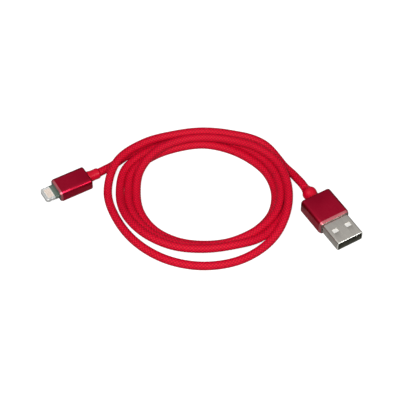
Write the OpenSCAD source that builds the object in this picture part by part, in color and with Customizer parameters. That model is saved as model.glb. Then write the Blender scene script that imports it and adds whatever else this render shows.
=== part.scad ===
// Charging cable: a braided lead wound into a flat coil, with a USB-A plug on one end
// and an eight-contact reversible phone plug on the other. Millimetres, +Z up.
// The origin is under the middle of the two plugs, on the surface that the cable lies on.
// Each plug is drawn along +X with x = 0 at its housing's front face, then put in its place.

/* [Cord] */
// Diameter of the braided cord
cord_d = 3.3; // [2.6:0.1:3.6]
// Diameter of the jacket under the braid
core_d = 2.6; // [2:0.1:2.8]
// Diameter of one insulated wire inside the jacket
wire_d = 0.8; // [0.5:0.1:0.9]

/* [USB housing] */
// Length of the USB housing
usb_len = 14.4; // [12:0.2:20]
// Width of the USB housing
usb_w = 14; // [13.4:0.2:18]
// Thickness of the USB housing
usb_h = 6.9; // [6.2:0.1:9]
// Corner radius of the USB housing's section
usb_corner = 1.5; // [0.8:0.1:2.2]
// Wall of the USB housing
usb_wall = 0.6; // [0.4:0.05:0.8]

/* [USB shell] */
// Width of the USB shell
shell_w = 12; // [11.5:0.1:12.4]
// Thickness of the USB shell
shell_h = 4.5; // [4.2:0.1:4.9]
// How far the USB shell stands out of the housing
shell_out = 10.9; // [9.5:0.1:13]
// How far the USB shell runs back inside the housing
shell_in = 5; // [4:0.5:6]
// Sheet thickness of the USB shell
shell_t = 0.3; // [0.2:0.05:0.4]
// Size of each latch hole across the plug
latch_w = 2.5; // [2:0.1:3]
// Size of each latch hole along the plug
latch_len = 2; // [1.6:0.1:2.6]
// Distance between the middles of the two latch holes
latch_pitch = 6.1; // [5:0.1:7]
// Distance from the shell's tip to the near edge of a latch hole
latch_back = 5.1; // [4.5:0.1:6]
// Thickness of the tongue
tongue_t = 1.9; // [1.6:0.1:2.1]

/* [Phone housing] */
// Length of the phone housing
phone_len = 14.5; // [12:0.5:20]
// Width of the phone housing
phone_w = 9.8; // [8.6:0.2:12]
// Thickness of the phone housing
phone_h = 5.6; // [5.2:0.1:8]
// Corner radius of the phone housing's section
phone_corner = 1.6; // [0.8:0.1:2]
// Wall of the phone housing
phone_wall = 0.6; // [0.4:0.05:0.7]

/* [Phone tab] */
// Width of the phone tab
tab_w = 6.7; // [6:0.1:7.2]
// Thickness of the phone tab
tab_t = 1.5; // [1.2:0.1:1.8]
// How far the phone tab stands out of the housing
tab_out = 5.9; // [5.5:0.05:8]
// Radius of the tab's two tip corners
tab_corner = 1.3; // [0.6:0.1:2]
// Number of contacts on each side of the tab
contact_count = 8; // [4:1:8]

/* [Strain reliefs] */
// Length of the USB strain relief outside its housing
usb_boot_len = 6.5; // [5:0.5:9]
// Diameter of the USB strain relief at the housing
usb_boot_d = 6.2; // [5.6:0.1:6.6]
// Length of the phone strain relief outside its housing
phone_boot_len = 5; // [4:0.5:9]
// Diameter of the phone strain relief at the housing
phone_boot_d = 4.9; // [4.6:0.1:5.4]

/* [Hidden] */
$fn = 48;
eps = 0.01;

// Colours
silver = "#b8b2a8";
gold = "#d9b45a";
anodised = "#8a1525";
boot_red = "#f01030";
cord_red = "#d0052d";
mould_white = "#e8e6df";
black = "#202022";
board_green = "#1f6b46";
wire_colours = ["#c81020", "#f2f2f2", "#1c8a3c", "#1a1a1a"];

// Where the coil and the plugs lie
coil_at = [1.7, 8.7];
usb_front = [53.9, -8.1];
usb_yaw = -59;
usb_axis_z = usb_h / 2;
phone_front = [-58.5, 9.1];
phone_yaw = 210;
phone_axis_z = phone_h / 2;

// Fits inside both plugs
back_wall = 0.8;
collar_t = 0.8;
collar_recess = 0.2;
edge_chamfer = 0.35;
neck_wall = 0.6;
crimp_t = 0.4;
crimp_len = 1.8;
wire_room = 4.4;
contact_w = 1;
contact_t = 0.2;
contact_tail = 1;
contact_pitches = [-3.5, -1, 1, 3.5];
tongue_recess = 1.6;
usb_back = usb_len - back_wall;
usb_core_front = shell_in + contact_tail + wire_room;
shell_corner = 0.8;

// The phone plug's inner sizes
tab_in = 3;
window_len = 3;
window_side = 0.85;
window_back = 1.8;
block_recess = 0.1;
pad_t = 0.08;
pad_fill = 0.6;
notch_r = 0.5;
notch_depth = 0.28;
notch_at = 3.6;
board_len = 4.6;
board_w = 6;
board_t = 0.6;
chip_size = [2.4, 2.6, 0.8];
cap_size = [0.6, 1, 0.5];
cap_pitch = 1.6;
phone_wire_room = 2.4;
phone_back = phone_len - back_wall;
phone_core_front = tab_in + board_len + phone_wire_room;

// The coil: stations every 22.5 degrees, clockwise from the upper left
station_turn = 22.5;
first_station = 157.5;
lane_pitch = 3.35;
coil_radii = [27.9, 27.7, 27, 26.6, 26.1, 26.6, 28.1, 29.1, 29.4, 28.4, 27.3, 26.7, 27.1, 27.6, 27.6, 27.5];
// Each pass gives the strand's lane at each station: how far out, and how high, in lane pitches
pass_1 = [
    [2.45, 0], [2.1, 0], [2, 0], [1.96, 0], [1.68, 0], [1.4, 0], [1.25, 0],
    [1.25, 0.15], [1.45, 0.55], [1.46, 1.3], [1.52, 1.32], [1.6, 1.2], [1.7, 1.08], [1.92, 0.74], [2.04, 0.1]
];
pass_2 = [
    [2.12, 0], [1.4, 0], [1.05, 0], [1, 0], [0.98, 0.22], [0.84, 0.54], [0.7, 0.72], [0.62, 0.79],
    [0.55, 0.84], [0.5, 0.87], [0.58, 0.82], [0.68, 0.74], [0.76, 0.66], [0.84, 0.55], [0.95, 0.38], [1.01, 0]
];
pass_3 = [for (s = [0:15]) [s == 0 ? 1.08 : s == 1 ? 0.36 : 0, 0]];
pass_4 = [
    [0.16, 0.5], [0.15, 1], [0.25, 0.98], [0.35, 0.94], [0.58, 1.15], [0.95, 1.53], [1.4, 1.44], [1.5, 1.26],
    [1.8, 1.02], [2.42, 0.3], [2.9, 0], [3.1, 0], [2.95, 0], [2.8, 0], [2.97, 0], [3.5, 0.25]
];
pass_5 = [[3.2, 1], [2.2, 1], [1.45, 0.93], [1.36, 0.95], [1.64, 1], [2.65, 0.55], [2.5, 0]];
lanes = concat(pass_1, pass_2, pass_3, pass_4, pass_5);
// The leads between the coil and the plugs, about the middle of the coil
phone_lead = [[-40.9, 12.2, 2.4], [-38.3, 14.5, 1.8], [-35.5, 17.2, 1.65], [-31, 21.3, 1.65]];
usb_lead = [[36.6, 10.3, 1.8], [38.5, 6.9, 2.6], [39.9, 4.3, 3.2]];
cord_sides = 8;

function heading(yaw) = [cos(yaw), sin(yaw), 0];
function plug_point(front, yaw, z, x) = [front[0], front[1], z] + x * heading(yaw);
function coil_point(i) =
    let (
        s = i + 1,
        a = first_station - station_turn * s,
        r = coil_radii[s % 16] + lane_pitch * lanes[i][0]
    )
    [r * cos(a), r * sin(a), cord_d / 2 + lane_pitch * lanes[i][1]];
function placed(p) = p + [coil_at[0], coil_at[1], 0];

cord_start = plug_point(phone_front, phone_yaw, phone_axis_z, -phone_len - phone_boot_len);
cord_end = plug_point(usb_front, usb_yaw, usb_axis_z, -usb_len - usb_boot_len);
route = concat(
    [cord_start],
    [for (p = phone_lead) placed(p)],
    [for (i = [0:len(lanes) - 1]) placed(coil_point(i))],
    [for (p = usb_lead) placed(p)],
    [cord_end]
);

// A tube along a route: one ring of points at each route point, square to the route there,
// or square to the direction given in ends where the tube meets another piece
function unit(v) = v / norm(v);
function along(path, i, ends) =
    i == 0 ? (ends ? ends[0] : unit(path[1] - path[0]))
    : i == len(path) - 1 ? (ends ? ends[1] : unit(path[i] - path[i - 1]))
    : unit(unit(path[i + 1] - path[i]) + unit(path[i] - path[i - 1]));
function ring(path, i, r, sides, ends) =
    let (
        t = along(path, i, ends),
        side = unit(cross(t, [0, 0, 1])),
        up = cross(side, t)
    )
    [for (k = [0:sides - 1]) let (a = (k + 0.5) * 360 / sides) path[i] + r * (cos(a) * side + sin(a) * up)];

module tube(path, r, sides, ends = false) {
    rings = len(path);
    points = [for (i = [0:rings - 1]) each ring(path, i, r, sides, ends)];
    walls = [
        for (i = [0:rings - 2], k = [0:sides - 1])
        let (a = i * sides + k, b = i * sides + (k + 1) % sides)
        each [[a, b, b + sides], [a, b + sides, a + sides]]
    ];
    first_cap = [for (k = [sides - 1:-1:0]) k];
    last_cap = [for (k = [0:sides - 1]) (rings - 1) * sides + k];
    polyhedron(points = points, faces = concat([first_cap], walls, [last_cap]), convexity = 10);
}

// Shared shapes
module rounded(w, h, r) {
    square([w - 2 * r, h], center = true);
    square([w, h - 2 * r], center = true);
    for (x = [-1, 1], y = [-1, 1]) translate([x * (w / 2 - r), y * (h / 2 - r)]) circle(r);
}

// A bar of rounded section along +X from x0 to x1
module bar(x0, x1, w, h, r) {
    translate([x0, 0, 0]) rotate([90, 0, 90]) linear_extrude(x1 - x0) rounded(w, h, r);
}

module rod(x0, x1, d) {
    translate([x0, 0, 0]) rotate([0, 90, 0]) cylinder(h = x1 - x0, d = d);
}

module block(x0, x1, w, z0, z1) {
    translate([x0, -w / 2, z0]) cube([x1 - x0, w, z1 - z0]);
}

module usb_place() {
    translate([usb_front[0], usb_front[1], usb_axis_z]) rotate([0, 0, usb_yaw]) children();
}

module phone_place() {
    translate([phone_front[0], phone_front[1], phone_axis_z]) rotate([0, 0, phone_yaw]) children();
}

// Metal sleeve, closed at the back but for the strain relief's neck, with chamfered ends
module sleeve(length, w, h, r, wall, neck_d) {
    c = edge_chamfer;
    difference() {
        hull() {
            bar(-length, 0, w - 2 * c, h - 2 * c, r - c, $fn = 32);
            bar(-length + c, -c, w, h, r, $fn = 32);
        }
        bar(-length + back_wall, eps, w - 2 * wall, h - 2 * wall, r - wall);
        rod(-length - eps, -length + back_wall + eps, neck_d);
    }
}

// Strain relief: a neck through the housing's back wall, then a waist and a soft bead
module strain_relief(length, out, d, neck_d) {
    tip_r = cord_d / 2 + 0.3;
    bead_r = d / 2 - 0.3;
    waist_r = d / 2 - 0.55;
    rotate([0, -90, 0]) rotate_extrude() polygon([
        [core_d / 2, length - back_wall], [neck_d / 2, length - back_wall], [neck_d / 2, length],
        [d / 2, length], [d / 2, length + 0.1 * out], [waist_r, length + 0.28 * out],
        [bead_r, length + 0.45 * out], [bead_r, length + 0.7 * out], [tip_r + 0.2, length + 0.9 * out],
        [tip_r, length + out], [core_d / 2, length + out]
    ]);
}

module front_collar(w, h, r, wall) {
    bar(-collar_recess - collar_t, -collar_recess, w - 2 * wall, h - 2 * wall, r - wall);
}

// Moulding that fills the housing behind the collar, with a room for the wires
module inner_mould(back, w, h, r, wall, core_front, room_front, room_w, room_h) {
    difference() {
        bar(-back, -collar_recess - collar_t, w - 2 * wall, h - 2 * wall, r - wall);
        block(-core_front, -room_front, room_w, -room_h / 2, room_h / 2);
        rod(-back - eps, -core_front + eps, core_d);
        rod(-core_front - crimp_len, -core_front + eps, core_d + 2 * crimp_t);
    }
}

module crimp_ring(core_front) {
    difference() {
        rod(-core_front - crimp_len, -core_front, core_d + 2 * crimp_t);
        rod(-core_front - crimp_len - eps, -core_front + eps, core_d);
    }
}

// One of four wires from the jacket's end (2 by 2) to its place on a row of ends
module wire(i, core_front, end_x, end_y, end_z) {
    stub = 0.5;
    y = (i < 2 ? -1 : 1) * core_d / 4;
    z = (i % 3 == 0 ? -1 : 1) * core_d / 5;
    color(wire_colours[i])
    tube([
        [-core_front, y, z], [-core_front + stub, y, z],
        [end_x - stub, end_y, end_z], [end_x, end_y, end_z]
    ], wire_d / 2, cord_sides);
}

// USB plug
module usb_shell() {
    color(silver) usb_place() difference() {
        bar(-shell_in, shell_out, shell_w, shell_h, shell_corner);
        bar(-shell_in - eps, shell_out + eps, shell_w - 2 * shell_t, shell_h - 2 * shell_t,
            shell_corner - shell_t);
        for (y = [-1, 1])
        translate([shell_out - latch_back - latch_len, y * latch_pitch / 2 - latch_w / 2, -shell_h])
        cube([latch_len, latch_w, 2 * shell_h]);
    }
}

module usb_tongue() {
    top = shell_h / 2 - shell_t;
    color(mould_white) usb_place() intersection() {
        block(-shell_in, shell_out - tongue_recess, shell_w, top - tongue_t, top);
        bar(-shell_in, shell_out, shell_w - 2 * shell_t, shell_h - 2 * shell_t, shell_corner - shell_t);
    }
}

function contact_top() = shell_h / 2 - shell_t - tongue_t;

module usb_contact(i) {
    short = (i == 1 || i == 2) ? 1.6 : 0.6;
    color(gold) usb_place() translate([0, contact_pitches[i], 0])
    block(-shell_in - contact_tail, shell_out - tongue_recess - short, contact_w,
        contact_top() - contact_t, contact_top());
}

module usb_front_collar() {
    color(silver) usb_place() difference() {
        front_collar(usb_w, usb_h, usb_corner, usb_wall);
        bar(-usb_len, shell_out, shell_w, shell_h, shell_corner);
    }
}

module usb_housing() {
    color(anodised) usb_place()
    sleeve(usb_len, usb_w, usb_h, usb_corner, usb_wall, usb_boot_d - 2 * neck_wall);
}

module usb_inner_mould() {
    color(mould_white) usb_place() difference() {
        inner_mould(usb_back, usb_w, usb_h, usb_corner, usb_wall, usb_core_front, shell_in,
            shell_w - 2 * shell_corner, shell_h - 2 * shell_t);
        bar(-shell_in, eps, shell_w, shell_h, shell_corner);
    }
}

module usb_crimp_ring() {
    color(silver) usb_place() crimp_ring(usb_core_front);
}

module usb_cable_core() {
    color(mould_white) usb_place() rod(-usb_len - usb_boot_len, -usb_core_front, core_d);
}

module usb_wire(i) {
    usb_place()
    wire(i, usb_core_front, -shell_in - contact_tail, contact_pitches[i], contact_top() - contact_t / 2);
}

module usb_strain_relief() {
    color(boot_red) usb_place()
    strain_relief(usb_len, usb_boot_len, usb_boot_d, usb_boot_d - 2 * neck_wall);
}

// Phone plug
module tab_outline() {
    r = tab_corner;
    translate([-tab_in, -tab_w / 2]) square([tab_in + tab_out - r, tab_w]);
    translate([0, -tab_w / 2 + r]) square([tab_out, tab_w - 2 * r]);
    for (y = [-1, 1]) translate([tab_out - r, y * (tab_w / 2 - r)]) circle(r);
}

module tab_window(t) {
    translate([window_back, 0, -t / 2]) linear_extrude(t)
    translate([window_len / 2, 0]) rounded(window_len, tab_w - 2 * window_side, 0.4);
}

module phone_tab() {
    color(silver) phone_place() difference() {
        translate([0, 0, -tab_t / 2]) linear_extrude(tab_t) tab_outline();
        tab_window(2 * tab_t);
        for (y = [-1, 1])
        translate([notch_at, y * (tab_w / 2 + notch_r - notch_depth), -tab_t])
        cylinder(r = notch_r, h = 2 * tab_t);
    }
}

module phone_contact_block() {
    color(mould_white) phone_place() tab_window(tab_t - 2 * block_recess);
}

module phone_contacts(side) {
    span = tab_w - 2 * window_side - 0.4;
    pitch = span / contact_count;
    z = side > 0 ? tab_t / 2 - block_recess : -tab_t / 2 + block_recess - pad_t;
    color(gold) phone_place()
    for (i = [0:contact_count - 1])
    translate([window_back + 0.3, (i - (contact_count - 1) / 2) * pitch - pad_fill * pitch / 2, z])
    cube([window_len - 0.6, pad_fill * pitch, pad_t]);
}

module phone_circuit_board() {
    color(board_green) phone_place() block(-tab_in - board_len, -tab_in, board_w, -board_t / 2, board_t / 2);
}

module phone_chip() {
    color(black) phone_place()
    translate([-tab_in - board_len / 2 - chip_size[0] / 2, -chip_size[1] / 2, board_t / 2]) cube(chip_size);
}

module phone_capacitors() {
    color("#a08060") phone_place()
    for (i = [-1:1])
    translate([-tab_in - board_len / 2, i * cap_pitch - cap_size[1] / 2, -board_t / 2 - cap_size[2]])
    cube(cap_size);
}

module phone_front_collar() {
    color(silver) phone_place() difference() {
        front_collar(phone_w, phone_h, phone_corner, phone_wall);
        block(-phone_len, tab_out, tab_w, -tab_t / 2, tab_t / 2);
    }
}

module phone_housing() {
    color(anodised) phone_place()
    sleeve(phone_len, phone_w, phone_h, phone_corner, phone_wall, phone_boot_d - 2 * neck_wall);
}

module phone_inner_mould() {
    color(mould_white) phone_place() difference() {
        inner_mould(phone_back, phone_w, phone_h, phone_corner, phone_wall, phone_core_front, tab_in,
            board_w + 0.4, phone_h - 2 * phone_wall - 1);
        block(-tab_in - eps, 0, tab_w, -tab_t / 2, tab_t / 2);
    }
}

module phone_crimp_ring() {
    color(silver) phone_place() crimp_ring(phone_core_front);
}

module phone_cable_core() {
    color(mould_white) phone_place() rod(-phone_len - phone_boot_len, -phone_core_front, core_d);
}

module phone_wire(i) {
    phone_place()
    wire(i, phone_core_front, -tab_in - board_len, (i - 1.5) * 1.3, 0);
}

module phone_strain_relief() {
    color(boot_red) phone_place()
    strain_relief(phone_len, phone_boot_len, phone_boot_d, phone_boot_d - 2 * neck_wall);
}

// The braided cord from one strain relief to the other
module cord() {
    color(cord_red) tube(route, cord_d / 2, cord_sides, [-heading(phone_yaw), heading(usb_yaw)]);
}

usb_shell();
usb_tongue();
usb_contact(0);  // usb_contact_1
usb_contact(1);  // usb_contact_2
usb_contact(2);  // usb_contact_3
usb_contact(3);  // usb_contact_4
usb_front_collar();
usb_housing();
usb_inner_mould();
usb_crimp_ring();
usb_cable_core();
usb_wire(0);  // usb_wire_red
usb_wire(1);  // usb_wire_white
usb_wire(2);  // usb_wire_green
usb_wire(3);  // usb_wire_black
usb_strain_relief();
phone_tab();
phone_contact_block();
phone_contacts(1);  // phone_contacts_top
phone_contacts(-1);  // phone_contacts_bottom
phone_circuit_board();
phone_chip();
phone_capacitors();
phone_front_collar();
phone_housing();
phone_inner_mould();
phone_crimp_ring();
phone_cable_core();
phone_wire(0);  // phone_wire_red
phone_wire(1);  // phone_wire_white
phone_wire(2);  // phone_wire_green
phone_wire(3);  // phone_wire_black
phone_strain_relief();
cord();
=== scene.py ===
import math

import bmesh
import bpy
import numpy as np
from mathutils import Matrix, Vector


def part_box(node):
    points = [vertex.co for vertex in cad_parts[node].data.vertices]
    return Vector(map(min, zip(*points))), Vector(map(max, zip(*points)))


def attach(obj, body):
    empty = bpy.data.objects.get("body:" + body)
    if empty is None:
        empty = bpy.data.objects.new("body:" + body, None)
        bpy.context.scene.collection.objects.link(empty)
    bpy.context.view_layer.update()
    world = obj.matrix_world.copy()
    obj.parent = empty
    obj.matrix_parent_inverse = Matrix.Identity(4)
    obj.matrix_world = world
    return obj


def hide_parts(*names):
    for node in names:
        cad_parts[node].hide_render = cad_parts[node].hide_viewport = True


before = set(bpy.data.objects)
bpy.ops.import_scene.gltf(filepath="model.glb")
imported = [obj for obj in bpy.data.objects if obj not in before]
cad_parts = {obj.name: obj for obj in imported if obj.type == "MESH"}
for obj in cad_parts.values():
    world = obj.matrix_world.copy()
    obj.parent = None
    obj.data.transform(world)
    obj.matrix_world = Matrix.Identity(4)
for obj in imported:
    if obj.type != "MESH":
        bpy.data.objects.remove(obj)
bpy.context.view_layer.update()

mm = 0.001


# the view: a long lens, looking down on the coil
cameraSetup = {
    "target": (0.1, 6.6, 0.0),
    "distance": 600.0,
    "elevation": 50.5,
    "lens": 132.3,
    "sensor": 36.0,
}


def makeCamera(setup):
    tilt = math.radians(setup["elevation"])
    target = Vector(setup["target"]) * mm
    back = Vector((0, -math.cos(tilt), math.sin(tilt))) * setup["distance"] * mm
    data = bpy.data.cameras.new("studioCamera")
    data.lens = setup["lens"]
    data.sensor_width = setup["sensor"]
    data.clip_start = 0.01
    camera = bpy.data.objects.new("studioCamera", data)
    camera.location = target + back
    camera.rotation_euler = (math.pi / 2 - tilt, 0, 0)
    bpy.context.collection.objects.link(camera)
    bpy.context.scene.camera = camera


makeCamera(cameraSetup)
print("camera ready")


# small helpers for shader trees
def addNode(tree, kind, at=(0, 0), **settings):
    node = tree.nodes.new(kind)
    node.location = at
    for name, value in settings.items():
        setattr(node, name, value)
    return node


def plug(tree, source, target):
    if isinstance(source, (int, float, tuple)):
        target.default_value = source
    else:
        tree.links.new(source, target)


def doMath(tree, operation, a, b=None, c=None, clamp=False):
    node = addNode(tree, "ShaderNodeMath", operation=operation, use_clamp=clamp)
    for socket, value in zip(node.inputs, (a, b, c)):
        if value is not None:
            plug(tree, value, socket)
    return node.outputs[0]


def mixColor(tree, factor, a, b, blend="MIX"):
    node = addNode(tree, "ShaderNodeMix", data_type="RGBA", blend_type=blend)
    plug(tree, factor, node.inputs[0])
    plug(tree, a, node.inputs[6])
    plug(tree, b, node.inputs[7])
    return node.outputs[2]


def newGroup(name, inputs, outputs):
    group = bpy.data.node_groups.new(name, "ShaderNodeTree")
    for label, kind, value in inputs:
        socket = group.interface.new_socket(label, in_out="INPUT", socket_type=kind)
        if value is not None:
            socket.default_value = value
    for label, kind in outputs:
        group.interface.new_socket(label, in_out="OUTPUT", socket_type=kind)
    return group, addNode(group, "NodeGroupInput", (-900, 0)), addNode(group, "NodeGroupOutput", (900, 0))


# fine grain: a speckle for blasted metal and moulded plastic, with a slower cloud over it
def makeGrainGroup():
    group, ins, outs = newGroup(
        "fineGrain",
        [("Vector", "NodeSocketVector", None), ("Grain Scale", "NodeSocketFloat", 6000.0),
         ("Cloud Scale", "NodeSocketFloat", 220.0)],
        [("Grain", "NodeSocketFloat"), ("Cloud", "NodeSocketFloat")],
    )
    for label, detail in (("Grain", 3.0), ("Cloud", 4.0)):
        noise = addNode(group, "ShaderNodeTexNoise")
        group.links.new(ins.outputs["Vector"], noise.inputs["Vector"])
        group.links.new(ins.outputs[label + " Scale"], noise.inputs["Scale"])
        noise.inputs["Detail"].default_value = detail
        group.links.new(noise.outputs["Fac"], outs.inputs[label])
    return group


# painted edge highlight: a mask on convex corners, found by pointiness and broken up by a slow noise, where a
# brighter copy of the colour is painted
def makeEdgeHighlightGroup():
    group, ins, outs = newGroup(
        "paintedEdgeHighlight",
        [("Vector", "NodeSocketVector", None), ("Breakup Scale", "NodeSocketFloat", 900.0),
         ("Amount", "NodeSocketFloat", 1.0)],
        [("Mask", "NodeSocketFloat")],
    )
    geometry = addNode(group, "ShaderNodeNewGeometry")
    ramp = addNode(group, "ShaderNodeMapRange")
    ramp.inputs["From Min"].default_value = 0.52
    ramp.inputs["From Max"].default_value = 0.62
    group.links.new(geometry.outputs["Pointiness"], ramp.inputs["Value"])
    noise = addNode(group, "ShaderNodeTexNoise")
    group.links.new(ins.outputs["Vector"], noise.inputs["Vector"])
    group.links.new(ins.outputs["Breakup Scale"], noise.inputs["Scale"])
    broken = doMath(group, "MULTIPLY", ramp.outputs[0], noise.outputs["Fac"])
    group.links.new(doMath(group, "MULTIPLY", broken, ins.outputs["Amount"], clamp=True), outs.inputs["Mask"])
    return group


fineGrain = makeGrainGroup()
paintedEdgeHighlight = makeEdgeHighlightGroup()


def newMaterial(name, **constants):
    material = bpy.data.materials.new(name)
    material.use_nodes = True
    tree = material.node_tree
    shader = tree.nodes["Principled BSDF"]
    for label, value in constants.items():
        shader.inputs[label.replace("_", " ")].default_value = value
    return material, tree, shader


def groupNode(tree, group, vector, **values):
    node = addNode(tree, "ShaderNodeGroup")
    node.node_tree = group
    tree.links.new(vector, node.inputs["Vector"])
    for label, value in values.items():
        node.inputs[label.replace("_", " ")].default_value = value
    return node


def bumpInto(tree, shader, height, strength, distance):
    bump = addNode(tree, "ShaderNodeBump")
    bump.inputs["Strength"].default_value = strength
    bump.inputs["Distance"].default_value = distance
    plug(tree, height, bump.inputs["Height"])
    tree.links.new(bump.outputs[0], shader.inputs["Normal"])


# roughness that follows a noise between two limits
def spreadRoughness(tree, shader, noise, limits):
    low, high = limits
    plug(tree, doMath(tree, "MULTIPLY_ADD", noise, high - low, low), shader.inputs["Roughness"])


# a grained solid finish: two close colours clouded together, speckled roughness, a light bump
def makeGrained(name, dark, light, roughness, grainScale, cloudScale, bumpDepth, edgeHighlight=0.0, **constants):
    speckleShare = 0.35
    bumpStrength = 0.5
    edgeHighlightGain, edgeHighlightLift = 2.2, 0.12
    material, tree, shader = newMaterial(name, **constants)
    where = addNode(tree, "ShaderNodeTexCoord").outputs["Object"]
    grain = groupNode(tree, fineGrain, where, Grain_Scale=grainScale, Cloud_Scale=cloudScale)
    color = mixColor(tree, grain.outputs["Cloud"], (*dark, 1), (*light, 1))
    speckled = doMath(tree, "MULTIPLY", grain.outputs["Grain"], speckleShare)
    speckle = mixColor(tree, speckled, color, (*dark, 1))
    # painted highlight: where the edge mask falls, the colour is lightened to a brighter copy of light
    if edgeHighlight:
        edge = groupNode(tree, paintedEdgeHighlight, where, Amount=edgeHighlight)
        edgeHighlightColor = tuple(min(1.0, edgeHighlightGain * c + edgeHighlightLift) for c in light)
        speckle = mixColor(tree, edge.outputs["Mask"], speckle, (*edgeHighlightColor, 1))
    plug(tree, speckle, shader.inputs["Base Color"])
    spreadRoughness(tree, shader, grain.outputs["Grain"], roughness)
    bumpInto(tree, shader, grain.outputs["Grain"], bumpStrength, bumpDepth)
    return material


# drawn or brushed metal: the grain is stretched along the plug, so it turns with it
def makeBrushed(name, dark, light, roughness, yaw, bumpDepth):
    brushStretch = 14.0
    smudgeShare = 0.5
    bumpStrength = 0.35
    material, tree, shader = newMaterial(name, Metallic=1.0)
    where = addNode(tree, "ShaderNodeTexCoord").outputs["Object"]
    turn = addNode(tree, "ShaderNodeMapping", vector_type="TEXTURE")
    turn.inputs["Rotation"].default_value = (0, 0, math.radians(yaw))
    turn.inputs["Scale"].default_value = (brushStretch, 1.0, 1.0)
    tree.links.new(where, turn.inputs["Vector"])
    grain = groupNode(tree, fineGrain, turn.outputs[0], Grain_Scale=5200.0, Cloud_Scale=500.0)
    cloud = groupNode(tree, fineGrain, where, Grain_Scale=9000.0, Cloud_Scale=180.0)
    color = mixColor(tree, grain.outputs["Grain"], (*dark, 1), (*light, 1))
    smudge = doMath(tree, "MULTIPLY", cloud.outputs["Cloud"], smudgeShare)
    plug(tree, mixColor(tree, smudge, color, (*dark, 1)), shader.inputs["Base Color"])
    spreadRoughness(tree, shader, cloud.outputs["Cloud"], roughness)
    bumpInto(tree, shader, grain.outputs["Grain"], bumpStrength, bumpDepth)
    return material


# the braid: two families of ribbons that cross, each of a few lying filaments, with painted shade in the gaps
# between ribbons and a painted highlight along the filaments
braid = {
    "carriers": 8,
    "leadMm": 11.0,
    "filaments": 4.0,
    # the colour of the painted shade in the gaps between the ribbons
    "dark": (0.10, 0.0, 0.004),
    "base": (0.66, 0.0004, 0.02),
    # the colour of the painted highlight on the filaments' crowns
    "light": (0.86, 0.002, 0.045),
    "roughness": 0.55,
    "roughnessSpread": 0.15,
    "strandHeight": 0.22,
    "sheenStreakScale": 0.9,
    "sheenStreakDetail": 5.0,
    # lengthwise streaks that carry the painted highlight, and the roughness
    "sheenStreakStretch": 9.0,
    "sheenStreakGain": 1.6,
    "sheenStreakOffset": -0.5,
    "shadePower": 0.6,
    "bumpStrength": 0.6,
    "bumpDepth": 0.00012,
}


def makeBraidMaterial(style):
    material, tree, shader = newMaterial(
        "braidRed", Sheen_Weight=0.03, Sheen_Roughness=0.3, Sheen_Tint=(1.0, 0.2, 0.35, 1),
        Specular_IOR_Level=0.16
    )
    uv = addNode(tree, "ShaderNodeUVMap", uv_map="braidMap").outputs[0]
    split = addNode(tree, "ShaderNodeSeparateXYZ")
    tree.links.new(uv, split.inputs[0])
    turns = doMath(tree, "MULTIPLY", split.outputs["X"], style["carriers"] / style["leadMm"])
    around = doMath(tree, "MULTIPLY", split.outputs["Y"], float(style["carriers"]))
    right = doMath(tree, "ADD", around, turns)
    left = doMath(tree, "SUBTRACT", around, turns)
    step = doMath(tree, "ADD", doMath(tree, "FLOOR", right), doMath(tree, "FLOOR", left))
    rightOnTop = doMath(tree, "FLOORED_MODULO", step, 2.0)

    def pick(a, b):
        node = addNode(tree, "ShaderNodeMix", data_type="FLOAT")
        plug(tree, rightOnTop, node.inputs[0])
        plug(tree, a, node.inputs[2])
        plug(tree, b, node.inputs[3])
        return node.outputs[0]

    def centred(value):
        return doMath(tree, "MULTIPLY_ADD", doMath(tree, "FRACT", value), 2.0, -1.0)

    across = pick(centred(left), centred(right))
    along = pick(centred(right), centred(left))
    acrossEdge = doMath(tree, "POWER", doMath(tree, "ABSOLUTE", across), 4.0)
    alongEdge = doMath(tree, "POWER", doMath(tree, "ABSOLUTE", along), 4.0)
    crown = doMath(tree, "SUBTRACT", 1.0, doMath(tree, "MAXIMUM", acrossEdge, alongEdge))
    waves = doMath(tree, "MULTIPLY", across, math.pi * style["filaments"])
    strands = doMath(tree, "ABSOLUTE", doMath(tree, "COSINE", waves))
    height = doMath(tree, "MULTIPLY_ADD", strands, style["strandHeight"], crown)
    noise = addNode(tree, "ShaderNodeTexNoise")
    noise.inputs["Scale"].default_value = style["sheenStreakScale"]
    noise.inputs["Detail"].default_value = style["sheenStreakDetail"]
    stretch = addNode(tree, "ShaderNodeCombineXYZ")
    plug(tree, split.outputs["X"], stretch.inputs[0])
    plug(tree, doMath(tree, "MULTIPLY", split.outputs["Y"], style["sheenStreakStretch"]), stretch.inputs[1])
    tree.links.new(stretch.outputs[0], noise.inputs["Vector"])
    sheenStreaks = doMath(tree, "MULTIPLY_ADD", noise.outputs["Fac"], style["sheenStreakGain"], style["sheenStreakOffset"],
                  clamp=True)
    # painted highlight: the filaments' crowns are lightened towards light along the streaks
    lit = doMath(tree, "MULTIPLY", strands, sheenStreaks)
    litYarn = mixColor(tree, lit, (*style["base"], 1), (*style["light"], 1))
    # painted shade: the ribbons' edges and the gaps between them are darkened towards dark
    shade = doMath(tree, "POWER", crown, style["shadePower"], clamp=True)
    color = mixColor(tree, shade, (*style["dark"], 1), litYarn)
    plug(tree, color, shader.inputs["Base Color"])
    roughness = doMath(tree, "MULTIPLY_ADD", sheenStreaks, style["roughnessSpread"], style["roughness"])
    plug(tree, roughness, shader.inputs["Roughness"])
    bumpInto(tree, shader, height, style["bumpStrength"], style["bumpDepth"])
    return material
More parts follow.
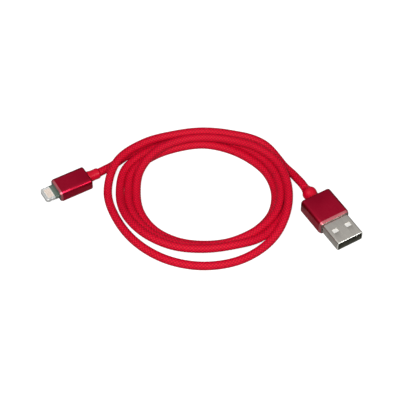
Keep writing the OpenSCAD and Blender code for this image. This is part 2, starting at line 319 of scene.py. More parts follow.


# the cord's route, as the part lays it: leads through listed points, the coil by lanes about an inner ring
cordRoute = {
    "coilAt": (1.7, 8.7),
    "diameter": 3.3,
    "stationTurn": 22.5,
    "firstStation": 157.5,
    "lanePitch": 3.35,
    "radii": [27.9, 27.7, 27, 26.6, 26.1, 26.6, 28.1, 29.1, 29.4, 28.4, 27.3, 26.7, 27.1, 27.6, 27.6, 27.5],
    "lanes": [
        # first pass, from the phone plug's lead
        (2.45, 0), (2.1, 0), (2, 0), (1.96, 0), (1.68, 0), (1.4, 0), (1.25, 0),
        (1.25, 0.15), (1.45, 0.55), (1.46, 1.3), (1.52, 1.32), (1.6, 1.2), (1.7, 1.08), (1.92, 0.74),
        (2.04, 0.1),
        # second pass
        (2.12, 0), (1.4, 0), (1.05, 0), (1, 0), (0.98, 0.22), (0.84, 0.54), (0.7, 0.72), (0.62, 0.79),
        (0.55, 0.84), (0.5, 0.87), (0.58, 0.82), (0.68, 0.74), (0.76, 0.66), (0.84, 0.55), (0.95, 0.38),
        (1.01, 0),
        # third pass, on the ground inside
        (1.08, 0), (0.36, 0), *[(0, 0)] * 14,
        # fourth pass, over the others and out to the front loop
        (0.16, 0.5), (0.15, 1), (0.25, 0.98), (0.35, 0.94), (0.58, 1.15), (0.95, 1.53), (1.4, 1.44),
        (1.5, 1.26),
        (1.8, 1.02), (2.42, 0.3), (2.9, 0), (3.1, 0), (2.95, 0), (2.8, 0), (2.97, 0), (3.5, 0.25),
        # fifth pass, over the phone plug's lead and away to the USB plug
        (3.2, 1), (2.2, 1), (1.45, 0.93), (1.36, 0.95), (1.64, 1), (2.65, 0.55), (2.5, 0),
    ],
    "phoneLead": [(-40.9, 12.2, 2.4), (-38.3, 14.5, 1.8), (-35.5, 17.2, 1.65), (-31, 21.3, 1.65)],
    "usbLead": [(36.6, 10.3, 1.8), (38.5, 6.9, 2.6), (39.9, 4.3, 3.2)],
    "stepsPerPoint": 12,
    "settleRounds": 40,
}

usbPlug = {
    "housingNode": "usb_housing", "yaw": -59.0, "length": 14.4, "width": 14.0, "height": 6.9,
    "corner": 1.5, "wall": 0.6, "backWall": 0.8, "neckRadius": 2.5, "bootLength": 6.5,
    "backRound": 0.9, "bevelLength": 1.0, "bevelDepth": 0.45,
}
phonePlug = {
    "housingNode": "phone_housing", "yaw": 210.0, "length": 14.5, "width": 9.8, "height": 5.6,
    "corner": 1.6, "wall": 0.6, "backWall": 0.8, "neckRadius": 1.85, "bootLength": 5.0,
    "backRound": 0.8, "bevelLength": 0.8, "bevelDepth": 0.4,
}


# a plug's own frame: x along the plug from its housing's front face, y across, z up from the axis
def plugMatrix(spec):
    low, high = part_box(spec["housingNode"])
    middle = (Vector(low) + Vector(high)) / 2
    turn = Matrix.Rotation(math.radians(spec["yaw"]), 4, "Z")
    return Matrix.Translation(middle) @ turn @ Matrix.Translation((spec["length"] / 2 * mm, 0, 0))


def bootTip(spec):
    x = -(spec["length"] + spec["bootLength"]) * mm
    return plugMatrix(spec) @ Vector((x, 0, 0))


def routePoints(spec):
    def placed(x, y, z):
        return Vector((x + spec["coilAt"][0], y + spec["coilAt"][1], z)) * mm

    points = [bootTip(phonePlug)] + [placed(*p) for p in spec["phoneLead"]]
    for i, (out, up) in enumerate(spec["lanes"]):
        station = i + 1
        angle = math.radians(spec["firstStation"] - spec["stationTurn"] * station)
        radius = spec["radii"][station % len(spec["radii"])] + spec["lanePitch"] * out
        z = spec["diameter"] / 2 + spec["lanePitch"] * up
        points.append(placed(radius * math.cos(angle), radius * math.sin(angle), z))
    points += [placed(*p) for p in spec["usbLead"]] + [bootTip(usbPlug)]
    return np.array([tuple(p) for p in points])


# a smooth curve through given points, evened for their spacing
def smoothThrough(points, steps):
    padded = np.vstack([2 * points[0] - points[1], points, 2 * points[-1] - points[-2]])
    curve = []
    for p0, p1, p2, p3 in zip(padded, padded[1:], padded[2:], padded[3:]):
        t1 = np.linalg.norm(p1 - p0) ** 0.5
        t2 = t1 + np.linalg.norm(p2 - p1) ** 0.5
        t3 = t2 + np.linalg.norm(p3 - p2) ** 0.5
        for t in np.linspace(t1, t2, steps, endpoint=False):
            a1 = p0 + (p1 - p0) * t / t1
            a2 = p1 + (p2 - p1) * (t - t1) / (t2 - t1)
            a3 = p2 + (p3 - p2) * (t - t2) / (t3 - t2)
            b1 = a1 + (a2 - a1) * t / t2
            b2 = a2 + (a3 - a2) * (t - t1) / (t3 - t1)
            curve.append(b1 + (b2 - b1) * (t - t1) / (t2 - t1))
    return np.array(curve + [points[-1]])


def evenly(points, spacing):
    reach = np.r_[0, np.cumsum(np.linalg.norm(np.diff(points, axis=0), axis=1))]
    marks = np.linspace(0, reach[-1], int(round(reach[-1] / spacing)) + 1)
    return np.stack([np.interp(marks, reach, points[:, k]) for k in range(3)], axis=1)


# strands that press into each other are eased apart, and none sinks below the table
def settle(route, diameter, press, rounds, spacing):
    ownReach = 5 * diameter
    heldPoints = 6
    smoothings = 3
    closest = diameter - press
    index = np.arange(len(route))
    apart = np.abs(index[:, None] - index[None]) > ownReach / spacing
    free = slice(heldPoints, -heldPoints)
    points = route.copy()
    for _ in range(rounds):
        gap = points[:, None] - points[None]
        distance = np.linalg.norm(gap, axis=2)
        near = apart & (distance < closest)
        push = np.where(near, (closest - distance) / np.maximum(distance, 1e-9), 0)[..., None] * gap
        count = np.maximum(near.sum(axis=1), 1)[:, None]
        shift = points + 0.5 * push.sum(axis=1) / count - route
        for _ in range(smoothings):
            shift[1:-1] = 0.5 * shift[1:-1] + 0.25 * (shift[:-2] + shift[2:])
        points[free] = (route + shift)[free]
        points[:, 2] = np.maximum(points[:, 2], diameter / 2)
    return points


# the braid's mesh: its ribbons dip by lift, stand proud of the cord by crown, and press into each other
sleeveSizes = {"rings": 2900, "sides": 32, "lift": 0.05, "crown": 0.1, "press": 0.16}
cordSpacing = 1.0 * mm
cordPath = evenly(smoothThrough(routePoints(cordRoute), cordRoute["stepsPerPoint"]), cordSpacing)
sleeveDiameter = (cordRoute["diameter"] + 2 * sleeveSizes["crown"]) * mm
cordPath = settle(cordPath, sleeveDiameter, sleeveSizes["press"] * mm, cordRoute["settleRounds"], cordSpacing)
cordLength = float(np.linalg.norm(np.diff(cordPath, axis=0), axis=1).sum())
print("cord route settled,", round(cordLength, 4), "m")


# the sleeve's tree: a grid wrapped round the route, its ribbons lifted where they cross on top
def makeSleeveTree():
    ribbonPower = 0.6
    closedEnd = 0.00005
    weldGap = 2e-6
    tree = bpy.data.node_groups.new("braidedSleeve", "GeometryNodeTree")
    tree.interface.new_socket("Geometry", in_out="INPUT", socket_type="NodeSocketGeometry")
    for label, kind in (
        ("Radius", "NodeSocketFloat"), ("Length Mm", "NodeSocketFloat"), ("Lift", "NodeSocketFloat"),
        ("Lead Mm", "NodeSocketFloat"), ("Carriers", "NodeSocketInt"), ("Rings", "NodeSocketInt"),
        ("Sides", "NodeSocketInt"), ("Finish", "NodeSocketMaterial"),
    ):
        tree.interface.new_socket(label, in_out="INPUT", socket_type=kind)
    tree.interface.new_socket("Geometry", in_out="OUTPUT", socket_type="NodeSocketGeometry")
    ins = addNode(tree, "NodeGroupInput", (-1200, 0)).outputs
    out = addNode(tree, "NodeGroupOutput", (1400, 0))

    grid = addNode(tree, "GeometryNodeMeshGrid")
    plug(tree, 1.0, grid.inputs["Size X"])
    plug(tree, 1.0, grid.inputs["Size Y"])
    plug(tree, ins["Rings"], grid.inputs["Vertices X"])
    plug(tree, doMath(tree, "ADD", ins["Sides"], 1.0), grid.inputs["Vertices Y"])

    place = addNode(tree, "ShaderNodeSeparateXYZ")
    tree.links.new(addNode(tree, "GeometryNodeInputPosition").outputs[0], place.inputs[0])
    factor = doMath(tree, "ADD", place.outputs["X"], 0.5, clamp=True)
    turned = doMath(tree, "ADD", place.outputs["Y"], 0.5)
    along = doMath(tree, "MULTIPLY", factor, ins["Length Mm"])
    turns = doMath(tree, "MULTIPLY", doMath(tree, "DIVIDE", along, ins["Lead Mm"]), ins["Carriers"])
    around = doMath(tree, "MULTIPLY", turned, ins["Carriers"])
    right = doMath(tree, "ADD", around, turns)
    left = doMath(tree, "SUBTRACT", around, turns)
    swell = doMath(tree, "MULTIPLY", doMath(tree, "SINE", doMath(tree, "MULTIPLY", right, math.pi)),
                   doMath(tree, "SINE", doMath(tree, "MULTIPLY", left, math.pi)))
    raised = doMath(tree, "POWER", doMath(tree, "ABSOLUTE", swell), ribbonPower)
    dip = doMath(tree, "MULTIPLY", doMath(tree, "SUBTRACT", raised, 1.0), ins["Lift"])
    radius = doMath(tree, "ADD", ins["Radius"], dip)
    # both ends draw in to a point inside their strain reliefs
    inner = doMath(tree, "MULTIPLY", doMath(tree, "GREATER_THAN", factor, closedEnd),
                   doMath(tree, "LESS_THAN", factor, 1 - closedEnd))
    radius = doMath(tree, "MULTIPLY", radius, inner)

    sample = addNode(tree, "GeometryNodeSampleCurve", mode="FACTOR")
    tree.links.new(ins["Geometry"], sample.inputs["Curves"])
    tree.links.new(factor, sample.inputs["Factor"])
    binormal = addNode(tree, "ShaderNodeVectorMath", operation="CROSS_PRODUCT")
    tree.links.new(sample.outputs["Tangent"], binormal.inputs[0])
    tree.links.new(sample.outputs["Normal"], binormal.inputs[1])
    angle = doMath(tree, "MULTIPLY", turned, 2 * math.pi)

    def reach(direction, amount):
        node = addNode(tree, "ShaderNodeVectorMath", operation="SCALE")
        tree.links.new(direction, node.inputs[0])
        tree.links.new(doMath(tree, "MULTIPLY", amount, radius), node.inputs["Scale"])
        return node.outputs[0]

    def total(a, b):
        node = addNode(tree, "ShaderNodeVectorMath", operation="ADD")
        tree.links.new(a, node.inputs[0])
        tree.links.new(b, node.inputs[1])
        return node.outputs[0]

    side = reach(sample.outputs["Normal"], doMath(tree, "COSINE", angle))
    up = reach(binormal.outputs[0], doMath(tree, "SINE", angle))
    wrap = addNode(tree, "GeometryNodeSetPosition")
    tree.links.new(grid.outputs["Mesh"], wrap.inputs["Geometry"])
    tree.links.new(total(sample.outputs["Position"], total(side, up)), wrap.inputs["Position"])

    gridUv = addNode(tree, "ShaderNodeSeparateXYZ")
    tree.links.new(grid.outputs["UV Map"], gridUv.inputs[0])
    uv = addNode(tree, "ShaderNodeCombineXYZ")
    tree.links.new(doMath(tree, "MULTIPLY", gridUv.outputs["X"], ins["Length Mm"]), uv.inputs[0])
    tree.links.new(gridUv.outputs["Y"], uv.inputs[1])
    store = addNode(tree, "GeometryNodeStoreNamedAttribute", data_type="FLOAT2", domain="CORNER")
    store.inputs["Name"].default_value = "braidMap"
    tree.links.new(wrap.outputs[0], store.inputs["Geometry"])
    tree.links.new(uv.outputs[0], store.inputs["Value"])
    weld = addNode(tree, "GeometryNodeMergeByDistance")
    weld.inputs["Distance"].default_value = weldGap
    tree.links.new(store.outputs[0], weld.inputs["Geometry"])
    smooth = addNode(tree, "GeometryNodeSetShadeSmooth")
    tree.links.new(weld.outputs[0], smooth.inputs["Geometry"])
    real = addNode(tree, "GeometryNodeRealizeInstances")
    tree.links.new(smooth.outputs[0], real.inputs["Geometry"])
    finish = addNode(tree, "GeometryNodeSetMaterial")
    tree.links.new(real.outputs[0], finish.inputs["Geometry"])
    tree.links.new(ins["Finish"], finish.inputs["Material"])
    tree.links.new(finish.outputs[0], out.inputs["Geometry"])
    return tree


# runs a tree on an object and keeps the plain mesh that comes out
def bakeTree(name, source, tree, values):
    modifier = source.modifiers.new(tree.name, "NODES")
    modifier.node_group = tree
    sockets = {s.name: s.identifier for s in tree.interface.items_tree if s.in_out == "INPUT"}
    for label, value in values.items():
        modifier[sockets[label]] = value
    return bakeModifiers(name, source)


def bakeModifiers(name, source):
    depsgraph = bpy.context.evaluated_depsgraph_get()
    mesh = bpy.data.meshes.new_from_object(source.evaluated_get(depsgraph))
    mesh.name = name
    bpy.data.objects.remove(source)
    piece = bpy.data.objects.new(name, mesh)
    bpy.context.collection.objects.link(piece)
    return piece


def curveObject(name, points):
    data = bpy.data.curves.new(name, "CURVE")
    data.dimensions = "3D"
    data.twist_mode = "MINIMUM"
    spline = data.splines.new("POLY")
    spline.points.add(len(points) - 1)
    for point, co in zip(spline.points, points):
        point.co = (*co, 1)
    item = bpy.data.objects.new(name, data)
    bpy.context.collection.objects.link(item)
    return item


braidRed = makeBraidMaterial(braid)
sleeve = bakeTree("braided_sleeve", curveObject("sleeveRoute", cordPath), makeSleeveTree(), {
    "Radius": (cordRoute["diameter"] / 2 + sleeveSizes["crown"]) * mm, "Length Mm": cordLength / mm,
    "Lift": sleeveSizes["lift"] * mm, "Lead Mm": braid["leadMm"], "Carriers": braid["carriers"],
    "Rings": sleeveSizes["rings"], "Sides": sleeveSizes["sides"], "Finish": braidRed,
})
print("sleeve braided,", len(sleeve.data.polygons), "faces")
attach(sleeve, "root")
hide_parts("cord")


# finishes
# the anodised red has a painted highlight along its convex edges
anodisedRed = makeGrained("anodisedRed", (0.34, 0.002, 0.02), (0.46, 0.006, 0.032), (0.24, 0.36),
                          9000, 160, 3e-6, edgeHighlight=0.3, Metallic=1.0)
cutEdgeRed = makeGrained("cutEdgeRed", (0.46, 0.11, 0.13), (0.60, 0.19, 0.21), (0.44, 0.58),
                         9000, 300, 1e-6, Metallic=1.0)
bootRed = makeGrained("bootRed", (0.44, 0.0004, 0.012), (0.66, 0.001, 0.028), (0.3, 0.44),
                      5000, 260, 4e-6, Coat_Weight=0.04, Coat_Roughness=0.15, Specular_IOR_Level=0.22)
usbSteel = makeBrushed("usbSteel", (0.42, 0.39, 0.35), (0.66, 0.62, 0.56), (0.2, 0.36),
                       usbPlug["yaw"], 2e-6)
phoneSteel = makeBrushed("phoneSteel", (0.5, 0.5, 0.48), (0.74, 0.74, 0.72), (0.16, 0.3),
                         phonePlug["yaw"], 2e-6)
blackPlastic = makeGrained("blackPlastic", (0.010, 0.009, 0.009), (0.022, 0.02, 0.02), (0.45, 0.62),
                           7000, 300, 4e-6)
whiteMould = makeGrained("whiteMould", (0.66, 0.64, 0.6), (0.82, 0.81, 0.78), (0.35, 0.5),
                         7000, 300, 3e-6)
goldPlate = makeGrained("goldPlate", (0.62, 0.42, 0.16), (0.88, 0.66, 0.3), (0.16, 0.3),
                        9000, 500, 1e-6, Metallic=1.0)
paleGold = makeGrained("paleGold", (0.78, 0.6, 0.48), (0.92, 0.78, 0.68), (0.25, 0.4),
                       9000, 500, 1e-6, Metallic=0.5)
collarSteel = makeGrained("collarSteel", (0.30, 0.26, 0.24), (0.44, 0.40, 0.37), (0.4, 0.5),
                          7000, 400, 1e-6, Metallic=0.8)
# the shell's inside: the same steel painted near black, painted shade in the mouth
mouthShadeSteel = makeGrained("mouthShadeSteel", (0.05, 0.05, 0.04), (0.12, 0.115, 0.09), (0.45, 0.6),
                         7000, 500, 1e-6, Metallic=0.8)
# the rolled front lip and mouth face: the same steel painted near white, a painted highlight
paintedLipHighlight = makeGrained("paintedLipHighlight", (0.88, 0.87, 0.80), (0.97, 0.96, 0.90), (0.26, 0.34),
                       9000, 500, 1e-6, Metallic=0.7)
boardGreen = makeGrained("boardGreen", (0.01, 0.1, 0.04), (0.02, 0.18, 0.07), (0.25, 0.4),
                         7000, 700, 2e-6)
capacitorTan = makeGrained("capacitorTan", (0.28, 0.16, 0.08), (0.42, 0.27, 0.15), (0.4, 0.6),
                           9000, 900, 3e-6)
wireTints = {"red": (0.5, 0.01, 0.02), "white": (0.8, 0.8, 0.8), "green": (0.02, 0.3, 0.06),
             "black": (0.02, 0.02, 0.02)}
wireShade = 0.8
wireSkins = {
    tint: makeGrained("wire_" + tint, tuple(wireShade * c for c in color), color, (0.3, 0.42),
                      6000, 600, 2e-6)
    for tint, color in wireTints.items()
}

nodeFinishes = {
    "usb_tongue": whiteMould, "usb_front_collar": collarSteel, "usb_inner_mould": whiteMould,
    "usb_crimp_ring": usbSteel, "usb_cable_core": whiteMould,
    "phone_contact_block": whiteMould, "phone_contacts_top": paleGold, "phone_contacts_bottom": paleGold,
    "phone_circuit_board": boardGreen, "phone_chip": blackPlastic, "phone_capacitors": capacitorTan,
    "phone_front_collar": collarSteel, "phone_inner_mould": whiteMould, "phone_crimp_ring": phoneSteel,
    "phone_cable_core": whiteMould,
}
nodeFinishes.update({f"usb_contact_{i}": goldPlate for i in range(1, 5)})
for end in ("usb", "phone"):
    nodeFinishes.update({f"{end}_wire_{tint}": skin for tint, skin in wireSkins.items()})

for nodeName, finish in nodeFinishes.items():
    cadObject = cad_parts[nodeName]
    cadObject.data.materials.clear()
    cadObject.data.materials.append(finish)
print("inner pieces finished")


# outlines across a plug, as points (y, z)
def roundedOutline(width, height, corner, perCorner=8, perSide=(8, 4)):
    points = []
    quarters = ((1, 1), (-1, 1), (-1, -1), (1, -1))
    for quarter, (sy, sz) in enumerate(quarters):
        cy = sy * (width / 2 - corner)
        cz = sz * (height / 2 - corner)
        for k in range(perCorner + 1):
            a = math.radians(90 * quarter + 90 * k / perCorner)
            points.append((cy + corner * math.cos(a), cz + corner * math.sin(a)))
        extra = perSide[quarter % 2]
        nextY, nextZ = quarters[(quarter + 1) % 4]
        upright = quarter % 2 == 0
        endY = nextY * (width / 2 - corner) + (0 if upright else nextY * corner)
        endZ = nextZ * (height / 2 - corner) + (nextZ * corner if upright else 0)
        startY, startZ = points[-1]
        for k in range(1, extra + 1):
            f = k / (extra + 1)
            points.append((startY + (endY - startY) * f, startZ + (endZ - startZ) * f))
    return points


def circleLike(outline, radius):
    return [(radius * y / math.hypot(y, z), radius * z / math.hypot(y, z)) for y, z in outline]


def circleOutline(radius, count=48):
    return [(radius * math.cos(2 * math.pi * k / count), radius * math.sin(2 * math.pi * k / count))
            for k in range(count)]


# skins a ring of outlines that closes on itself, like a sleeve turned back through its own bore
def closedLoft(name, rings, matrix, finishes, finishAt=lambda ring: 0, sharpAngle=35):
    mesh = bpy.data.meshes.new(name)
    count = len(rings[0][1])
    verts = [matrix @ (Vector((x, y, z)) * mm) for x, outline in rings for y, z in outline]
    faces = []
    slots = []
    for i in range(len(rings)):
        j = (i + 1) % len(rings)
        for k in range(count):
            n = (k + 1) % count
            faces.append((i * count + k, j * count + k, j * count + n, i * count + n))
            slots.append(finishAt(i))
    mesh.from_pydata(verts, [], faces)
    for finish in finishes:
        mesh.materials.append(finish)
    mesh.polygons.foreach_set("material_index", slots)
    tidyNormals(mesh)
    mesh.shade_smooth()
    mesh.set_sharp_from_angle(angle=math.radians(sharpAngle))
    piece = bpy.data.objects.new(name, mesh)
    bpy.context.collection.objects.link(piece)
    return piece


def tidyNormals(mesh):
    shape = bmesh.new()
    shape.from_mesh(mesh)
    bmesh.ops.remove_doubles(shape, verts=shape.verts, dist=1e-7)
    bmesh.ops.recalc_face_normals(shape, faces=shape.faces)
    shape.to_mesh(mesh)
    shape.free()


def onBody(piece, slotName, *nodes):
    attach(piece, "root")
    if nodes:
        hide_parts(*nodes)


# housing: a drawn sleeve with a soft back edge and a bright cut bevel round its mouth
def makeHousing(name, spec, finishes):
    leastCorner = 0.25
    mouthBreak = 0.05
    neckInset = 1.0
    roundSteps = 4

    def inset(amount):
        return roundedOutline(spec["width"] - 2 * amount, spec["height"] - 2 * amount,
                              max(spec["corner"] - amount, leastCorner))

    length, wall, backRound = spec["length"], spec["wall"], spec["backRound"]
    neck = circleLike(inset(neckInset), spec["neckRadius"])
    path = [(-length + spec["backWall"], neck), (-length, neck)]
    backRings = []
    for k in range(roundSteps + 1):
        a = math.radians(90 * k / roundSteps)
        backRings.append((-length + backRound * (1 - math.cos(a)), inset(backRound * (1 - math.sin(a)))))
    front = [(-spec["bevelLength"], inset(0)), (0, inset(spec["bevelDepth"])),
             (0, inset(wall - mouthBreak)), (-mouthBreak, inset(wall))]
    inner = [(-length + spec["backWall"], inset(wall))]
    rings = path + backRings + front + inner
    bevelRing = len(path) + len(backRings)
    return closedLoft(name, rings, plugMatrix(spec), finishes, lambda ring: 1 if ring == bevelRing else 0)


usbHousing = makeHousing("usb_housing_shell", usbPlug, [anodisedRed, cutEdgeRed])
onBody(usbHousing, "anodised_red", "usb_housing")
phoneHousing = makeHousing("phone_housing_shell", phonePlug, [anodisedRed, cutEdgeRed])
onBody(phoneHousing, "anodised_red", "phone_housing")
print("housings made")


# strain relief: turned from a smooth profile, (distance from the housing, radius)
usbBoot = {"bore": 1.3, "profile": [(0, 2.75), (0.9, 2.6), (1.9, 2.72), (3.1, 3.0), (4.3, 2.9), (5.1, 2.4),
                                    (5.7, 2.08), (6.3, 1.95), (6.5, 1.75)]}
phoneBoot = {"bore": 1.3, "profile": [(0, 2.42), (0.35, 2.45), (1.2, 2.3), (2.6, 2.2), (3.8, 2.26),
                                      (4.5, 2.2), (4.9, 2.0), (5.0, 1.75)]}


def makeBoot(name, spec, boot, finish):
    stepsPerPoint = 6
    profile = np.array([(t, r, 0) for t, r in boot["profile"]], dtype=float)
    smooth = smoothThrough(profile, stepsPerPoint)
    neck, bore = spec["neckRadius"], boot["bore"]
    outside = [(-spec["length"] - t, circleOutline(r)) for t, r, _ in smooth]
    tip = -spec["length"] - smooth[-1][0]
    front = -spec["length"] + spec["backWall"]
    inside, passing = circleOutline(bore), circleOutline(neck)
    rings = [(front, inside), (front, passing), (-spec["length"], passing)]
    rings += outside + [(tip, inside)]
    return closedLoft(name, rings, plugMatrix(spec), [finish], sharpAngle=50)


usbBootPiece = makeBoot("usb_boot", usbPlug, usbBoot, bootRed)
onBody(usbBootPiece, "boot_red", "usb_strain_relief")
phoneBootPiece = makeBoot("phone_boot", phonePlug, phoneBoot, bootRed)
onBody(phoneBootPiece, "boot_red", "phone_strain_relief")
print("strain reliefs made")


# a box between two corners, in a plug's own frame, as a cutter
def cutterBox(name, low, high, matrix):
    shape = bmesh.new()
    bmesh.ops.create_cube(shape, size=1)
    middle = (Vector(low) + Vector(high)) / 2
    size = Vector(high) - Vector(low)
    for vert in shape.verts:
        vert.co = matrix @ (Vector([vert.co[k] * size[k] + middle[k] for k in range(3)]) * mm)
    mesh = bpy.data.meshes.new(name)
    shape.to_mesh(mesh)
    shape.free()
    item = bpy.data.objects.new(name, mesh)
    bpy.context.collection.objects.link(item)
    return item


# cuts pockets into a piece and softens every edge, then keeps the plain result
def cutAndSoften(piece, cutters, softening):
    name = piece.name
    for cutter in cutters:
        cut = piece.modifiers.new(cutter.name, "BOOLEAN")
        cut.operation = "DIFFERENCE"
        cut.solver = "EXACT"
        cut.object = cutter
    bevel = piece.modifiers.new("softEdge", "BEVEL")
    bevel.limit_method = "ANGLE"
    bevel.angle_limit = math.radians(40)
    bevel.width = softening * mm
    bevel.segments = 3
    bevel.use_clamp_overlap = True
    piece.name = name + "_raw"
    result = bakeModifiers(name, piece)
    for cutter in cutters:
        bpy.data.objects.remove(cutter)
    result.data.shade_smooth()
    result.data.set_sharp_from_angle(angle=math.radians(35))
    return result


usbShell = {"width": 12.0, "height": 4.5, "sheet": 0.3, "corner": 0.8, "out": 10.9, "inside": 5.0,
            "latch": (2.0, 2.5), "latchPitch": 6.1, "latchBack": 5.1, "latchCut": (1.2, 3.0),
            "seam": 0.06, "seamReach": (-6, 13), "lipLength": 0.22, "lipDrop": 0.14, "softening": 0.07}


def makeUsbShell(spec, plugSpec, finishes):
    matrix = plugMatrix(plugSpec)
    t = spec["sheet"]
    outer = roundedOutline(spec["width"], spec["height"], spec["corner"])
    inner = roundedOutline(spec["width"] - 2 * t, spec["height"] - 2 * t, spec["corner"] - t)
    drop = 2 * spec["lipDrop"]
    lip = roundedOutline(spec["width"] - drop, spec["height"] - drop, spec["corner"])
    rings = [(-spec["inside"], outer), (spec["out"] - spec["lipLength"], outer), (spec["out"], lip),
             (spec["out"], inner), (-spec["inside"], inner)]
    # the lip and front face take the painted highlight, the inside the painted shade
    shell = closedLoft("usb_plug_shell", rings, matrix, finishes, lambda ring: (0, 1, 1, 2, 0)[ring])
    cutters = []
    nearEdge = spec["out"] - spec["latchBack"]
    latchLength, latchWidth = spec["latch"]
    for side in (-1, 1):
        for face in (-1, 1):
            y = side * spec["latchPitch"] / 2
            lowZ, highZ = sorted(face * z for z in spec["latchCut"])
            low = (nearEdge - latchLength, y - latchWidth / 2, lowZ)
            high = (nearEdge, y + latchWidth / 2, highZ)
            cutters.append(cutterBox(f"latch_{side}_{face}", low, high, matrix))
    bottom = -spec["height"] / 2
    seamBack, seamFront = spec["seamReach"]
    low = (seamBack, -spec["seam"] / 2, bottom - 1)
    high = (seamFront, spec["seam"] / 2, bottom + t / 2)
    cutters.append(cutterBox("seam", low, high, matrix))
    return cutAndSoften(shell, cutters, spec["softening"])


usbShellPiece = makeUsbShell(usbShell, usbPlug, [usbSteel, paintedLipHighlight, mouthShadeSteel])
onBody(usbShellPiece, "plug_steel", "usb_shell")
print("usb shell made")


# the tab: bright satin metal with a duller band next to the housing
tabSteel = {"bright": (0.68, 0.68, 0.66), "dull": (0.17, 0.22, 0.18), "band": 1.9, "blend": 0.25,
            "metal": 0.7, "roughness": (0.26, 0.42), "bumpStrength": 0.3, "bumpDepth": 2e-6}


def makeTabSteel(spec, plugSpec):
    material, tree, shader = newMaterial("tabSteel", Metallic=spec["metal"])
    where = addNode(tree, "ShaderNodeTexCoord").outputs["Object"]
    place = addNode(tree, "ShaderNodeMapping", vector_type="TEXTURE")
    place.inputs["Location"].default_value = plugMatrix(plugSpec).translation
    place.inputs["Rotation"].default_value = (0, 0, math.radians(plugSpec["yaw"]))
    tree.links.new(where, place.inputs["Vector"])
    split = addNode(tree, "ShaderNodeSeparateXYZ")
    tree.links.new(place.outputs[0], split.inputs[0])
    grain = groupNode(tree, fineGrain, where, Grain_Scale=9000.0, Cloud_Scale=600.0)
    wander = doMath(tree, "MULTIPLY_ADD", grain.outputs["Cloud"], spec["blend"] * mm, split.outputs["X"])
    ramp = addNode(tree, "ShaderNodeMapRange", interpolation_type="SMOOTHSTEP")
    plug(tree, wander, ramp.inputs["Value"])
    ramp.inputs["From Min"].default_value = spec["band"] * mm
    ramp.inputs["From Max"].default_value = (spec["band"] + spec["blend"]) * mm
    color = mixColor(tree, ramp.outputs[0], (*spec["dull"], 1), (*spec["bright"], 1))
    plug(tree, color, shader.inputs["Base Color"])
    spreadRoughness(tree, shader, grain.outputs["Cloud"], spec["roughness"])
    bumpInto(tree, shader, grain.outputs["Grain"], spec["bumpStrength"], spec["bumpDepth"])
    return material


phoneTab = {"width": 6.7, "thick": 1.5, "out": 5.9, "inside": 3.0, "corner": 1.3, "windowBack": 1.8,
            "windowLength": 3.0, "windowSide": 0.85, "windowCorner": 0.4, "windowCut": 2, "notchAt": 3.6,
            "notchRadius": 0.5, "notchDepth": 0.28, "softening": 0.16}


def makePhoneTab(spec, plugSpec, finish):
    arcSteps = 8
    w, r = spec["width"] / 2, spec["corner"]
    half = [(-spec["inside"], w)]
    reach = math.acos((spec["notchRadius"] - spec["notchDepth"]) / spec["notchRadius"])
    for k in range(arcSteps + 1):
        a = -reach + 2 * reach * k / arcSteps
        half.append((spec["notchAt"] + spec["notchRadius"] * math.sin(a),
                     w + spec["notchRadius"] - spec["notchDepth"] - spec["notchRadius"] * math.cos(a)))
    for k in range(arcSteps + 1):
        a = math.radians(90 - 90 * k / arcSteps)
        half.append((spec["out"] - r + r * math.cos(a), w - r + r * math.sin(a)))
    outline = half + [(x, -y) for x, y in reversed(half)]
    shape = bmesh.new()
    matrix = plugMatrix(plugSpec)
    base = [shape.verts.new(matrix @ (Vector((x, y, -spec["thick"] / 2)) * mm)) for x, y in outline]
    face = shape.faces.new(base)
    made = bmesh.ops.extrude_face_region(shape, geom=[face])
    for item in made["geom"]:
        if isinstance(item, bmesh.types.BMVert):
            item.co.z += spec["thick"] * mm
    mesh = bpy.data.meshes.new("phone_plug_tab")
    bmesh.ops.recalc_face_normals(shape, faces=shape.faces)
    shape.to_mesh(mesh)
    shape.free()
    tab = bpy.data.objects.new("phone_plug_tab", mesh)
    bpy.context.collection.objects.link(tab)
    sideY = w - spec["windowSide"]
    low = (spec["windowBack"], -sideY, -spec["windowCut"])
    high = (spec["windowBack"] + spec["windowLength"], sideY, spec["windowCut"])
    window = cutterBox("window", low, high, matrix)
    soften = window.modifiers.new("windowCorners", "BEVEL")
    soften.width = spec["windowCorner"] * mm
    soften.segments = 5
    soften.limit_method = "ANGLE"
    tab.data.materials.append(finish)
    return cutAndSoften(tab, [window], spec["softening"])


phoneTabPiece = makePhoneTab(phoneTab, phonePlug, makeTabSteel(tabSteel, phonePlug))
onBody(phoneTabPiece, "plug_steel", "phone_tab")
print("phone tab made")


# the studio: a pale table, a soft key light above the camera, and a sky that dims towards the horizon
studio = {
    "floorSize": 6.0,
    "floorTone": 0.35,
    "floorGlow": 0.86,
    "skyTone": (0.97, 0.985, 1.0),
    "skyHigh": 0.75,
    "skyLow": 0.05,
    "skyFill": 0.12,
    "softBoxes": [
        {"name": "keyLight", "at": (-0.12, -0.5, 0.72), "size": 0.36, "power": 8.0},
        {"name": "edgeLight", "at": (0.56, -0.37, 0.60), "size": 0.28, "power": 2.0},
    ],
}


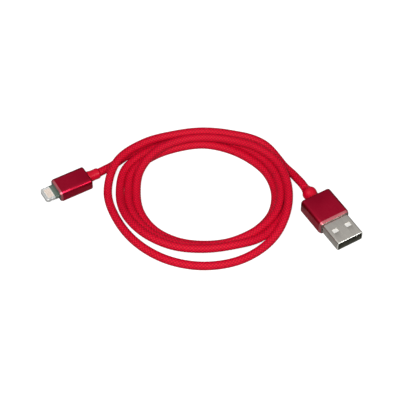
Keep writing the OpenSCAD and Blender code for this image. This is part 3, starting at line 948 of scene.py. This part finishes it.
# the table: a matt grey sheet for the object's light, shown to the eye as a lit white one
def makeTablePaper(spec):
    material, tree, shader = newMaterial("tablePaper", Roughness=0.9, Specular_IOR_Level=0.1)
    shader.inputs["Base Color"].default_value = (spec["floorTone"],) * 3 + (1,)
    shader.inputs["Emission Color"].default_value = (1, 1, 1, 1)
    seen = addNode(tree, "ShaderNodeLightPath").outputs["Is Camera Ray"]
    plug(tree, doMath(tree, "MULTIPLY", seen, spec["floorGlow"]), shader.inputs["Emission Strength"])
    return material


def makeSky(spec):
    world = bpy.data.worlds.new("studioSky")
    world.use_nodes = True
    tree = world.node_tree
    background = tree.nodes["Background"]
    background.inputs["Color"].default_value = (*spec["skyTone"], 1)
    height = addNode(tree, "ShaderNodeSeparateXYZ")
    tree.links.new(addNode(tree, "ShaderNodeTexCoord").outputs["Generated"], height.inputs[0])
    ramp = addNode(tree, "ShaderNodeMapRange", interpolation_type="SMOOTHSTEP")
    plug(tree, height.outputs["Z"], ramp.inputs["Value"])
    ramp.inputs["To Min"].default_value = spec["skyLow"]
    ramp.inputs["To Max"].default_value = spec["skyHigh"]
    seen = addNode(tree, "ShaderNodeLightPath").outputs["Is Camera Ray"]
    scattered = addNode(tree, "ShaderNodeLightPath").outputs["Is Diffuse Ray"]
    fill = doMath(tree, "MULTIPLY_ADD", scattered, spec["skyFill"] - 1, 1.0)
    lit = doMath(tree, "MULTIPLY", ramp.outputs[0], fill)
    plug(tree, doMath(tree, "MAXIMUM", lit, seen), background.inputs["Strength"])
    bpy.context.scene.world = world


def makeStudio(spec):
    size = spec["floorSize"]
    mesh = bpy.data.meshes.new("studio_table")
    corners = [(-size, -size, 0), (size, -size, 0), (size, size, 0), (-size, size, 0)]
    mesh.from_pydata(corners, [], [(0, 1, 2, 3)])
    mesh.materials.append(makeTablePaper(spec))
    table = bpy.data.objects.new("studio_table", mesh)
    bpy.context.collection.objects.link(table)
    makeSky(spec)
    for box in spec["softBoxes"]:
        light = bpy.data.lights.new(box["name"], "AREA")
        light.shape = "SQUARE"
        light.size = box["size"]
        light.energy = box["power"]
        lamp = bpy.data.objects.new(box["name"], light)
        lamp.location = box["at"]
        lamp.rotation_euler = (-Vector(box["at"])).to_track_quat("-Z", "Y").to_euler()
        bpy.context.collection.objects.link(lamp)
    bpy.context.scene.view_settings.view_transform = "Standard"


makeStudio(studio)
print("studio ready")
